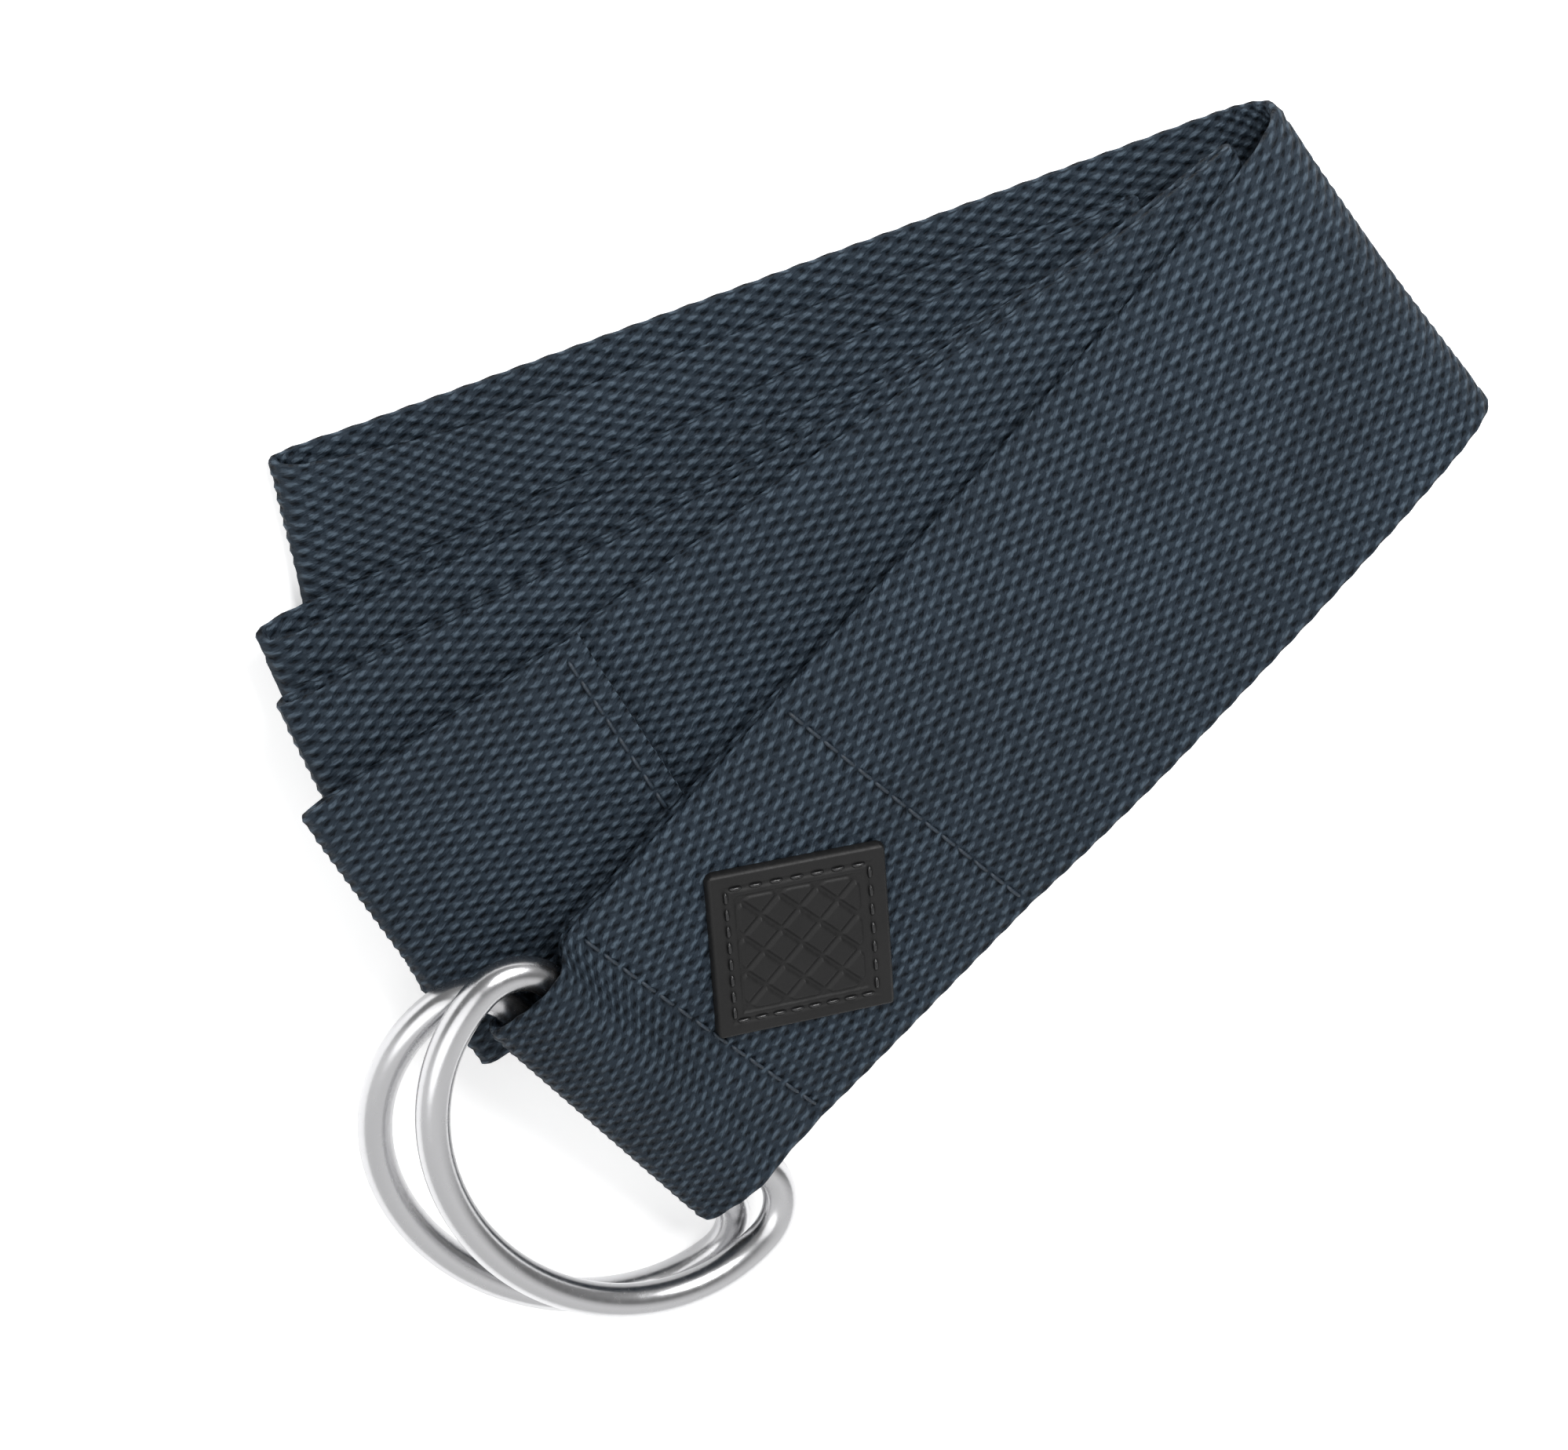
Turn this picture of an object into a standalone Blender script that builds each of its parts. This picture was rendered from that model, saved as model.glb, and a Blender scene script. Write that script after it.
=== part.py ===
"""Stretching strap: one long ribbon of 40 mm webbing, folded to and fro into a fanned
bundle, with two steel D-rings held in a stitched loop at its end and a square label patch.

The bundle lies on its lowest leg. +X runs along the top leg, away from the D-rings,
+Z is up, and the origin is under the middle of the whole bundle.

Every leg of the ribbon is listed from its ring end to its far end by a few stations along
one selvedge: (x, y), the height of the near selvedge, the middle and the far selvedge, and
the heading of the leg there. All lengths are in millimetres and angles in degrees.
"""
import math

import bmesh
import bpy
from mathutils import Vector

# ---- driving dimensions (mm) ---------------------------------------------------------
WEBBING_W = 40.0
WEBBING_T = 1.6
COLUMNS = 6               # cells across the webbing
GAP = 0.3                 # air kept between two pieces
CENTRE = (54.738, 27.627)   # plan centre of the bundle, moved to the origin

RING_WIRE_D = 3.8
RING_HALF_WIDTH = 25.1    # centre-line, along the bar
RING_DEPTH = 26.1         # centre-line, bar to crown
RING_CORNER_R = 5.8

PATCH_SIDE = 20.0
PATCH_T = 1.0
PATCH_CENTRE = (32.3, 3.2)
PATCH_TURN = 47.0
PATCH_INSET = 2.0         # from the edge of the patch to its stitching

THREAD_D = 0.5
RING_SEAM_X = 18.0        # closes the loop that holds the rings
TAIL_SEAM_X = 50.5        # ends the doubled part of the top leg
TAIL_END_X = 52.5
SEAM_MARGIN = 2.0
HEM_INSET = 2.3
LOOP_CLEARANCE = 0.36     # between the ring bars and the webbing around them
LOOP_EDGES_Y = (22.0, -15.0)   # the webbing gathers a little between the rings' corners

# ---- legs of the ribbon, lowest first ------------------------------------------------
LEGS = {
    "a_lower": [((36.5, 77.6), (0.8, 0.8, 0.8), -31.0),
                ((127.2, 23.9), (0.8, 0.8, 0.8), -30.5)],
    "a_upper": [((37.2, 75.8), (3.2, 2.7, 2.6), -40.0),
                ((53.0, 63.5), (2.8, 2.6, 2.6), -32.0),
                ((114.0, 26.2), (2.6, 2.6, 2.6), -31.5)],
    "b_lower": [((22.0, 67.8), (5.4, 5.0, 2.6), -26.0),
                ((40.0, 59.0), (4.7, 4.6, 3.5), -25.0),
                ((86.0, 38.6), (4.4, 4.4, 4.3), -23.0),
                ((114.3, 26.3), (4.4, 4.4, 4.3), -23.5)],
    "b_upper": [((22.0, 66.4), (7.8, 7.0, 4.3), -28.0),
                ((42.0, 56.0), (6.6, 6.4, 5.2), -26.5),
                ((90.5, 32.8), (6.2, 6.2, 6.1), -22.0),
                ((108.3, 26.2), (6.2, 6.2, 6.1), -19.0)],
    "c_lower": [((18.3, 62.4), (9.9, 8.9, 4.9), -25.0),
                ((42.0, 51.6), (8.7, 8.2, 6.6), -25.0),
                ((90.5, 32.6), (8.0, 8.0, 7.9), -18.5),
                ((108.3, 26.8), (7.9, 7.9, 7.8), -17.5)],
    "c_upper": [((18.3, 62.2), (12.1, 10.8, 6.6), -25.0),
                ((42.0, 51.2), (10.6, 9.9, 8.1), -24.5),
                ((78.0, 36.4), (10.0, 9.9, 9.7), -18.0),
                ((109.5, 27.6), (9.7, 9.6, 9.5), -15.5),
                ((124.5, 23.0), (5.9, 7.2, 7.2), -16.0)],
    "d_lower": [((11.3, 53.4), (14.0, 10.5, 5.9), -17.0),
                ((26.0, 48.9), (13.4, 11.0, 7.2), -17.0),
                ((45.0, 43.6), (12.7, 12.1, 10.7), -14.5),
                ((78.0, 35.4), (12.1, 11.9, 11.5), -14.0),
                ((109.5, 27.4), (11.4, 11.4, 11.2), -14.5),
                ((124.9, 23.2), (7.8, 9.1, 9.1), -15.0)],
    "free_end": [((11.3, 54.0), (16.3, 12.3, 7.6), -17.4),
                 ((26.0, 49.4), (15.6, 12.8, 8.9), -17.4),
                 ((43.2, 44.2), (14.6, 14.0, 12.5), -17.4)],
    "ring_leg": [((17.4, 24.2), (19.2, 15.8, 11.0), -1.0),
                 ((50.0, 23.7), (17.9, 15.9, 12.4), -1.2),
                 ((72.0, 22.8), (15.5, 15.0, 13.4), -1.8),
                 ((95.0, 22.15), (14.1, 13.9, 13.4), -1.3),
                 ((109.0, 21.85), (13.2, 13.2, 13.0), -2.0),
                 ((118.0, 21.4), (11.8, 12.0, 11.8), -4.0)],
}
# Order of the legs along the ribbon from its free end, and the way each one is travelled.
BUNDLE = (("free_end", -1), ("d_lower", 1), ("c_upper", -1), ("c_lower", 1),
          ("b_upper", -1), ("b_lower", 1), ("a_upper", -1), ("a_lower", 1))
HAIRPIN = 0.67            # reach of a hairpin fold, as a share of the pitch of its legs
OUTER_REACH_LOWER = (9.0, 18.0)    # near and far selvedge, leaving the lowest leg
OUTER_REACH_UPPER = (16.0, 14.0)   # the same, arriving at the ring leg
LEG_STEP = 9.0            # length of one cell along a leg
FOLD_STEPS = 7

# ---- rings: middle of the straight bar, its slope, turn in plan, and fall to the crown -----
RINGS = {
    "d_ring_front": dict(bar=(10.2, 2.7, 12.5), turn=6.0, bar_slope=13.6, fall=-9.0),
    "d_ring_rear": dict(bar=(4.8, 3.8, 10.2), turn=6.7, bar_slope=14.2, fall=6.5),
}

# ---- colours -------------------------------------------------------------------------
NAVY = (0.035, 0.055, 0.085, 1.0)
CHARCOAL = (0.03, 0.03, 0.035, 1.0)
STEEL = (0.62, 0.62, 0.64, 1.0)
THREAD = (0.03, 0.05, 0.08, 1.0)


def clear_scene():
    for obj in list(bpy.data.objects):
        bpy.data.objects.remove(obj, do_unlink=True)


def place(point):
    """A design point in mm as a world position in metres."""
    return Vector((point[0] - CENTRE[0], point[1] - CENTRE[1], point[2])) * 0.001


def make_material(name, colour, roughness, metallic=0.0):
    material = bpy.data.materials.new(name)
    material.use_nodes = True
    shader = material.node_tree.nodes["Principled BSDF"]
    shader.inputs["Base Color"].default_value = colour
    shader.inputs["Roughness"].default_value = roughness
    shader.inputs["Metallic"].default_value = metallic
    return material


# ---- the ribbon's centre surface -----------------------------------------------------
def cross_section(heights):
    """Offsets and heights across the webbing: a parabola through its three heights."""
    near, middle, far = heights
    zs = []
    for k in range(COLUMNS + 1):
        u = k / COLUMNS
        zs.append(near * (1 - u) * (1 - 2 * u) + 4 * middle * u * (1 - u) + far * u * (2 * u - 1))
    cell = WEBBING_W / COLUMNS
    offsets = [0.0]
    for below, above in zip(zs, zs[1:]):
        offsets.append(offsets[-1] + math.sqrt(cell ** 2 - (above - below) ** 2))
    return list(zip(offsets, zs))


def hermite(p0, t0, p1, t1, u):
    return ((2 * u ** 3 - 3 * u ** 2 + 1) * p0 + (u ** 3 - 2 * u ** 2 + u) * t0
            + (3 * u ** 2 - 2 * u ** 3) * p1 + (u ** 3 - u ** 2) * t1)


def hermite_slope(p0, t0, p1, t1, u):
    return ((6 * u ** 2 - 6 * u) * (p0 - p1) + (3 * u ** 2 - 4 * u + 1) * t0
            + (3 * u ** 2 - 2 * u) * t1)


def height_rates(stations, spans):
    """Slopes of the three heights at every station, flat where they turn."""
    steps = []
    for (_, low, _), (_, high, _), span in zip(stations, stations[1:], spans):
        steps.append([(b - a) / span for a, b in zip(low, high)])
    rates = [steps[0]]
    for before, after in zip(steps, steps[1:]):
        rates.append([2 * a * b / (a + b) if a * b > 0 else 0.0 for a, b in zip(before, after)])
    rates.append(steps[-1])
    return rates


def leg_rows(name):
    """Rows of points across the leg, from its ring end to its far end."""
    stations = LEGS[name]
    spans = [math.dist(a[0], b[0]) for a, b in zip(stations, stations[1:])]
    rates = height_rates(stations, spans)
    rows = []
    for k, span in enumerate(spans):
        (xy0, z0, h0), (xy1, z1, h1) = stations[k], stations[k + 1]
        p0, p1 = Vector(xy0), Vector(xy1)
        t0 = Vector((math.cos(math.radians(h0)), math.sin(math.radians(h0)))) * span
        t1 = Vector((math.cos(math.radians(h1)), math.sin(math.radians(h1)))) * span
        steps = max(2, round(span / LEG_STEP))
        for i in range(0 if k == 0 else 1, steps + 1):
            u = i / steps
            edge = hermite(p0, t0, p1, t1, u)
            along = hermite_slope(p0, t0, p1, t1, u).normalized()
            heights = [hermite(a, ra * span, b, rb * span, u)
                       for a, ra, b, rb in zip(z0, rates[k], z1, rates[k + 1])]
            rows.append([Vector((edge.x + along.y * off, edge.y - along.x * off, z))
                         for off, z in cross_section(heights)])
    return rows


def travel(rows, at_start):
    """Unit direction of travel of every column at the start or end of a run of rows."""
    first, second = (rows[0], rows[1]) if at_start else (rows[-2], rows[-1])
    return [(b - a).normalized() for a, b in zip(first, second)]


def bend_rows(before, after, reach_out, reach_in, steps, start=0.0, stop=1.0):
    """Rows of a bend between two runs: a cubic curve for every column."""
    leaving = travel(before, at_start=False)
    arriving = travel(after, at_start=True)
    rows = []
    for i in range(steps + 1):
        u = start + (stop - start) * i / steps
        row = []
        for k in range(COLUMNS + 1):
            share = k / COLUMNS
            p0, p3 = before[-1][k], after[0][k]
            out = reach_out[0] + (reach_out[1] - reach_out[0]) * share
            back = reach_in[0] + (reach_in[1] - reach_in[0]) * share
            p1 = p0 + leaving[k] * out
            p2 = p3 - arriving[k] * back
            row.append((1 - u) ** 3 * p0 + 3 * u * (1 - u) ** 2 * p1
                       + 3 * u ** 2 * (1 - u) * p2 + u ** 3 * p3)
        rows.append(row)
    return rows


def hairpin_rows(before, after):
    near = (before[-1][0] - after[0][0]).length * HAIRPIN
    far = (before[-1][-1] - after[0][-1]).length * HAIRPIN
    return bend_rows(before, after, (near, far), (near, far), FOLD_STEPS)[1:-1]


def bundle_rows():
    rows = []
    for name, way in BUNDLE:
        run = leg_rows(name)[::way]
        if rows:
            rows += hairpin_rows(rows, run)
        rows += run
    return rows


def bar_line(spec, y):
    """Where a ring's bar line crosses a plane of constant y, and how much further than at
    mid-bar the wire reaches from that line there, whichever way the ring has swung."""
    along, _ = ring_frame(spec)
    middle = Vector(spec["bar"])
    across = (y - middle.y) / along.y
    past = max(0.0, abs(across) - (RING_HALF_WIDTH - RING_CORNER_R))
    lean = math.asin(past / RING_CORNER_R)
    depth = RING_CORNER_R * (1 - math.cos(lean))
    spread = depth + RING_WIRE_D / 2 * (1 / math.cos(lean) - 1)
    return middle + along * across, spread


def loop_rows():
    """The loop round both ring bars: over the front and rear bars, then back under them."""
    radius = RING_WIRE_D / 2 + WEBBING_T / 2 + LOOP_CLEARANCE
    stops = ([("d_ring_front", angle) for angle in (62, 80, 98)]
             + [("d_ring_rear", angle) for angle in (112, 135, 158, 180, 203, 226, 250, 270)]
             + [("d_ring_front", angle) for angle in (282, 300)])
    rows = []
    for ring, angle in stops:
        turned = math.radians(angle)
        row = []
        for k in range(COLUMNS + 1):
            y = LOOP_EDGES_Y[0] + (LOOP_EDGES_Y[1] - LOOP_EDGES_Y[0]) * k / COLUMNS
            bar_point, spread = bar_line(RINGS[ring], y)
            offset = Vector((math.cos(turned), 0.0, math.sin(turned)))
            row.append(bar_point + offset * (radius + spread))
        rows.append(row)
    return rows


def tail_rows():
    """The end of the ribbon, turned back under the ring leg and sewn to it."""
    drop = Vector((0.0, 0.0, WEBBING_T + GAP / 2))
    rows = [[p - drop for p in row] for row in leg_rows("ring_leg") if row[0].x < TAIL_END_X]
    step = (rows[-1][0] - rows[-2][0]).normalized() * (TAIL_END_X - rows[-1][0].x)
    rows.append([p + step for p in rows[-1]])
    return rows


def ring_end_rows():
    """The ring leg from its far end, round the loop and along the tail."""
    top = leg_rows("ring_leg")[::-1]
    return top + loop_rows() + tail_rows()


def outer_rows():
    """The wide bend between the lowest leg and the ring leg, clear of both by GAP."""
    lower = leg_rows("a_lower")
    upper = leg_rows("ring_leg")[::-1]
    bend = bend_rows(lower, upper, OUTER_REACH_LOWER, OUTER_REACH_UPPER, 14)
    for end, inside in ((0, 1), (-1, -2)):
        bend[end] = [a + (b - a).normalized() * GAP for a, b in zip(bend[end], bend[inside])]
    return bend


# ---- objects -------------------------------------------------------------------------
def add_object(name, data, material, parent, origin):
    obj = bpy.data.objects.new(name, data)
    obj.data.materials.append(material)
    collection.objects.link(obj)
    obj.parent = parent
    obj.location = origin - (parent_origin(parent) if parent else Vector())
    return obj


def parent_origin(empty):
    """World position of an unrotated empty, through its own parents."""
    total = Vector()
    while empty:
        total += empty.location
        empty = empty.parent
    return total


def add_pivot(name, point, parent=None):
    empty = bpy.data.objects.new(name, None)
    empty.empty_display_size = 0.01
    collection.objects.link(empty)
    empty.parent = parent
    empty.location = place(point) - parent_origin(parent)
    return empty


def webbing_sheet(name, rows, material, parent, origin):
    """An open lofted surface through the rows, thickened equally to both sides."""
    bm = bmesh.new()
    verts = [[bm.verts.new(place(p) - origin) for p in row] for row in rows]
    for low, high in zip(verts, verts[1:]):
        for k in range(COLUMNS):
            bm.faces.new((low[k], low[k + 1], high[k + 1], high[k]))
    for face in bm.faces:
        face.smooth = True
    mesh = bpy.data.meshes.new(name)
    bm.to_mesh(mesh)
    bm.free()
    obj = add_object(name, mesh, material, parent, origin)
    thickness = obj.modifiers.new("thickness", "SOLIDIFY")
    thickness.thickness = WEBBING_T * 0.001
    thickness.offset = 0.0
    return obj


def wire(name, points, diameter, cyclic, sides, material, parent, origin):
    """A round wire or thread along the points."""
    curve = bpy.data.curves.new(name, "CURVE")
    curve.dimensions = "3D"
    curve.bevel_depth = diameter * 0.0005
    curve.bevel_resolution = sides
    curve.use_fill_caps = True
    spline = curve.splines.new("POLY")
    spline.points.add(len(points) - 1)
    for slot, point in zip(spline.points, points):
        slot.co = (*(place(point) - origin), 1.0)
    spline.use_cyclic_u = cyclic
    spline.use_smooth = True
    return add_object(name, curve, material, parent, origin)


def ring_frame(spec):
    """Unit vectors of a D-ring: along its bar, and from the bar to the crown."""
    turn, slope, fall = (math.radians(spec[key]) for key in ("turn", "bar_slope", "fall"))
    along = Vector((math.sin(turn) * math.cos(slope), math.cos(turn) * math.cos(slope),
                    math.sin(slope)))
    outward = Vector((-math.cos(turn), math.sin(turn), -math.tan(fall)))
    outward = (outward - along * outward.dot(along)).normalized()
    return along, outward


def ring_points(spec):
    """Centre-line of a D: straight bar, two round corners and half an ellipse."""
    along, outward = ring_frame(spec)
    middle = Vector(spec["bar"])
    half, corner = RING_HALF_WIDTH, RING_CORNER_R
    outline = [(half - corner, 0.0)]
    for k in range(1, 5):
        angle = math.radians(90 * k / 4)
        outline.append((half - corner + corner * math.sin(angle), corner - corner * math.cos(angle)))
    for k in range(1, 24):
        angle = math.pi * k / 24
        outline.append((half * math.cos(angle), corner + (RING_DEPTH - corner) * math.sin(angle)))
    outline += [(-across, depth) for across, depth in reversed(outline[:5])]
    return [middle + along * across + outward * depth for across, depth in outline]


def ring_leg_surface(x, y):
    """Height of the middle of the ring leg's webbing at a plan position."""
    rows = leg_rows("ring_leg")
    for low, high in zip(rows, rows[1:]):
        if low[0].x <= x <= high[0].x:
            share = (x - low[0].x) / (high[0].x - low[0].x)
            row = [a.lerp(b, share) for a, b in zip(low, high)]
            for a, b in zip(row, row[1:]):
                if b.y <= y <= a.y:
                    return a.z + (b.z - a.z) * (a.y - y) / (a.y - b.y)
    raise ValueError("position is off the ring leg")


def seam_points(x):
    """A row of stitching across the ring leg, standing clear of its top face."""
    lift = WEBBING_T / 2 + GAP + THREAD_D / 2
    near, far = 23.9 - SEAM_MARGIN, -14.0 + SEAM_MARGIN
    count = 12
    ys = [near + (far - near) * k / count for k in range(count + 1)]
    return [Vector((x, y, ring_leg_surface(x, y) + lift)) for y in ys]


def hem_points():
    """A row of stitching across the ribbon's free end."""
    end, inside = leg_rows("free_end")[-1], leg_rows("free_end")[-2]
    lift = Vector((0.0, 0.0, WEBBING_T / 2 + GAP + THREAD_D / 2))
    row = []
    for a, b in zip(end, inside):
        row.append(a + (b - a).normalized() * HEM_INSET + lift)
    across = row[-1] - row[0]
    row[0] += across.normalized() * SEAM_MARGIN
    row[-1] -= across.normalized() * SEAM_MARGIN
    return row


def patch_frame():
    """Centre of the patch and unit vectors of its two sides, flat on the ring leg."""
    x, y = PATCH_CENTRE
    reach = 9.0
    slope_x = (ring_leg_surface(x + reach, y) - ring_leg_surface(x - reach, y)) / (2 * reach)
    slope_y = (ring_leg_surface(x, y + reach) - ring_leg_surface(x, y - reach)) / (2 * reach)
    normal = Vector((-slope_x, -slope_y, 1.0)).normalized()
    turn = math.radians(PATCH_TURN)
    side = Vector((math.cos(turn), math.sin(turn), 0.0))
    side = (side - normal * side.dot(normal)).normalized()
    other = normal.cross(side)
    lift = WEBBING_T / 2 + GAP + PATCH_T / 2
    centre = Vector((x, y, ring_leg_surface(x, y))) + normal * lift
    return centre, side, other, normal


def add_patch(material, parent):
    centre, side, other, normal = patch_frame()
    origin = place(centre)
    bm = bmesh.new()
    bmesh.ops.create_cube(bm, size=0.001)
    for vert in bm.verts:
        local = vert.co.copy()
        vert.co = (side * local.x * PATCH_SIDE + other * local.y * PATCH_SIDE
                   + normal * local.z * PATCH_T)
    mesh = bpy.data.meshes.new("label_patch")
    bm.to_mesh(mesh)
    bm.free()
    obj = add_object("label_patch", mesh, material, parent, origin)
    bevel = obj.modifiers.new("rounded edges", "BEVEL")
    bevel.width = 0.0002
    bevel.segments = 2
    return obj


def patch_thread_points():
    """The square of stitching inside the patch's edge."""
    centre, side, other, normal = patch_frame()
    reach = PATCH_SIDE / 2 - PATCH_INSET
    lift = normal * (PATCH_T / 2 + GAP + THREAD_D / 2)
    corners = [(-reach, -reach), (reach, -reach), (reach, reach), (-reach, reach)]
    points = []
    for (u0, v0), (u1, v1) in zip(corners, corners[1:] + corners[:1]):
        for k in range(4):
            share = (k + 0.5) / 4
            points.append(centre + lift + side * (u0 + (u1 - u0) * share)
                          + other * (v0 + (v1 - v0) * share))
    return points


# ---- build ---------------------------------------------------------------------------
clear_scene()
collection = bpy.data.collections.new("stretching_strap")
bpy.context.scene.collection.children.link(collection)

webbing = make_material("navy webbing", NAVY, 0.8)
steel = make_material("polished steel", STEEL, 0.12, 1.0)
leatherette = make_material("charcoal patch", CHARCOAL, 0.6)
thread = make_material("navy thread", THREAD, 0.7)

outer = outer_rows()
crown = outer[len(outer) // 2]
fold_point = (crown[0] + crown[-1]) / 2 - Vector((4.0, 0.0, 0.0))
unfold_pivot = add_pivot("unfold_pivot", fold_point)
ring_leg_origin = place(fold_point)

webbing_sheet("folded_webbing", bundle_rows(), webbing, None, Vector())
webbing_sheet("outer_fold", outer, webbing, None, ring_leg_origin)
webbing_sheet("ring_leg", ring_end_rows(), webbing, unfold_pivot, ring_leg_origin)

for ring_name, ring_spec in RINGS.items():
    bar_middle = place(ring_spec["bar"])
    wire(ring_name, ring_points(ring_spec), RING_WIRE_D, True, 3, steel, unfold_pivot, bar_middle)

add_patch(leatherette, unfold_pivot)
patch_origin = place(patch_frame()[0])
wire("patch_stitching", patch_thread_points(), THREAD_D, True, 1, thread, unfold_pivot, patch_origin)
for seam_name, seam_x in (("ring_seam_stitching", RING_SEAM_X), ("tail_seam_stitching", TAIL_SEAM_X)):
    seam = seam_points(seam_x)
    wire(seam_name, seam, THREAD_D, False, 1, thread, unfold_pivot, place(seam[0]))
hem = hem_points()
wire("hem_stitching", hem, THREAD_D, False, 1, thread, None, place(hem[0]))
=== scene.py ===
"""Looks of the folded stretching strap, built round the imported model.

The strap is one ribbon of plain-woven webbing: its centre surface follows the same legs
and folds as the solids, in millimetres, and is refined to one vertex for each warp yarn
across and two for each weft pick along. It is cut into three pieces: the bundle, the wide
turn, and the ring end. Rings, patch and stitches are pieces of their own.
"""
import math

import bpy
import numpy as np
from mathutils import Matrix, Vector
from mathutils.bvhtree import BVHTree

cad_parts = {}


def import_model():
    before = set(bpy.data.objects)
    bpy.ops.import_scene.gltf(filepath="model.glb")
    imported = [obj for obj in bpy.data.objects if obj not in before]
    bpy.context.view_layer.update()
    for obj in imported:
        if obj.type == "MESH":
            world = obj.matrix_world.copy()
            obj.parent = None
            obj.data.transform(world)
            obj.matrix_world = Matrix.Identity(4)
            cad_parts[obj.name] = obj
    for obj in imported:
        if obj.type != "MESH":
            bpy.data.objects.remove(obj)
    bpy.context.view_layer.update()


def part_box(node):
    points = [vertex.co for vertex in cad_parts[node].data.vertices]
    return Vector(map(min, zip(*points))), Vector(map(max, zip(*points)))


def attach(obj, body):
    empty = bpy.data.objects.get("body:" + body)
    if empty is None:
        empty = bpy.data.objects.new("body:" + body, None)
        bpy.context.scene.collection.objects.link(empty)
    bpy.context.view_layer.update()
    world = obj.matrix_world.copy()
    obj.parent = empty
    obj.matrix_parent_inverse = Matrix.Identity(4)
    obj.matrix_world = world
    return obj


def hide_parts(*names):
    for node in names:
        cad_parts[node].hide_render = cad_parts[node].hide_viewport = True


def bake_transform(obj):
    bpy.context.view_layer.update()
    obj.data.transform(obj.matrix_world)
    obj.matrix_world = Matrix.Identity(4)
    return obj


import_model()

# ---- the strap's design, in mm and degrees -------------------------------------------
WEBBING_W = 40.0
WEBBING_T = 1.6
DESIGN_COLUMNS = 6
TAIL_GAP = 0.3
CENTRE = np.array((54.738, 27.627, 0.0))    # plan centre of the bundle, moved to the origin

RING_WIRE_D = 3.8
RING_HALF_WIDTH = 25.1
RING_DEPTH = 26.1
RING_CORNER_R = 5.8

PATCH_SIDE = 20.0
PATCH_T = 1.0
PATCH_CENTRE = (32.3, 3.2)
PATCH_TURN = 47.0

RING_SEAM_X = 18.0
TAIL_SEAM_X = 50.5
TAIL_END_X = 52.5
HEM_INSET = 2.3
LOOP_CLEARANCE = 0.36
LOOP_EDGES_Y = (22.0, -15.0)

LEGS = {
    "a_lower": [((36.5, 77.6), (0.8, 0.8, 0.8), -31.0),
                ((127.2, 23.9), (0.8, 0.8, 0.8), -30.5)],
    "a_upper": [((37.2, 75.8), (3.2, 2.7, 2.6), -40.0),
                ((53.0, 63.5), (2.8, 2.6, 2.6), -32.0),
                ((114.0, 26.2), (2.6, 2.6, 2.6), -31.5)],
    "b_lower": [((22.0, 67.8), (5.4, 5.0, 2.6), -26.0),
                ((40.0, 59.0), (4.7, 4.6, 3.5), -25.0),
                ((86.0, 38.6), (4.4, 4.4, 4.3), -23.0),
                ((114.3, 26.3), (4.4, 4.4, 4.3), -23.5)],
    "b_upper": [((22.0, 66.4), (7.8, 7.0, 4.3), -28.0),
                ((42.0, 56.0), (6.6, 6.4, 5.2), -26.5),
                ((90.5, 32.8), (6.2, 6.2, 6.1), -22.0),
                ((108.3, 26.2), (6.2, 6.2, 6.1), -19.0)],
    "c_lower": [((18.3, 62.4), (9.9, 8.9, 4.9), -25.0),
                ((42.0, 51.6), (8.7, 8.2, 6.6), -25.0),
                ((90.5, 32.6), (8.0, 8.0, 7.9), -18.5),
                ((108.3, 26.8), (7.9, 7.9, 7.8), -17.5)],
    "c_upper": [((18.3, 62.2), (12.1, 10.8, 6.6), -25.0),
                ((42.0, 51.2), (10.6, 9.9, 8.1), -24.5),
                ((78.0, 36.4), (10.0, 9.9, 9.7), -18.0),
                ((109.5, 27.6), (9.7, 9.6, 9.5), -15.5),
                ((124.5, 23.0), (5.9, 7.2, 7.2), -16.0)],
    "d_lower": [((11.3, 53.4), (14.0, 10.5, 5.9), -17.0),
                ((26.0, 48.9), (13.4, 11.0, 7.2), -17.0),
                ((45.0, 43.6), (12.7, 12.1, 10.7), -14.5),
                ((78.0, 35.4), (12.1, 11.9, 11.5), -14.0),
                ((109.5, 27.4), (11.4, 11.4, 11.2), -14.5),
                ((124.9, 23.2), (7.8, 9.1, 9.1), -15.0)],
    "free_end": [((11.3, 54.0), (16.3, 12.3, 7.6), -17.4),
                 ((26.0, 49.4), (15.6, 12.8, 8.9), -17.4),
                 ((43.2, 44.2), (14.6, 14.0, 12.5), -17.4)],
    "ring_leg": [((17.4, 24.2), (19.2, 15.8, 11.0), -1.0),
                 ((50.0, 23.7), (17.9, 15.9, 12.4), -1.2),
                 ((72.0, 22.8), (15.5, 15.0, 13.4), -1.8),
                 ((95.0, 22.15), (14.1, 13.9, 13.4), -1.3),
                 ((109.0, 21.85), (13.2, 13.2, 13.0), -2.0),
                 ((118.0, 21.4), (11.8, 12.0, 11.8), -4.0)],
}
BUNDLE = (("free_end", -1), ("d_lower", 1), ("c_upper", -1), ("c_lower", 1),
          ("b_upper", -1), ("b_lower", 1), ("a_upper", -1), ("a_lower", 1))
HAIRPIN = 0.67
OUTER_REACH_LOWER = (9.0, 18.0)
OUTER_REACH_UPPER = (16.0, 14.0)
LEG_STEP = 9.0
FOLD_STEPS = 7
OUTER_STEPS = 14

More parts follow.
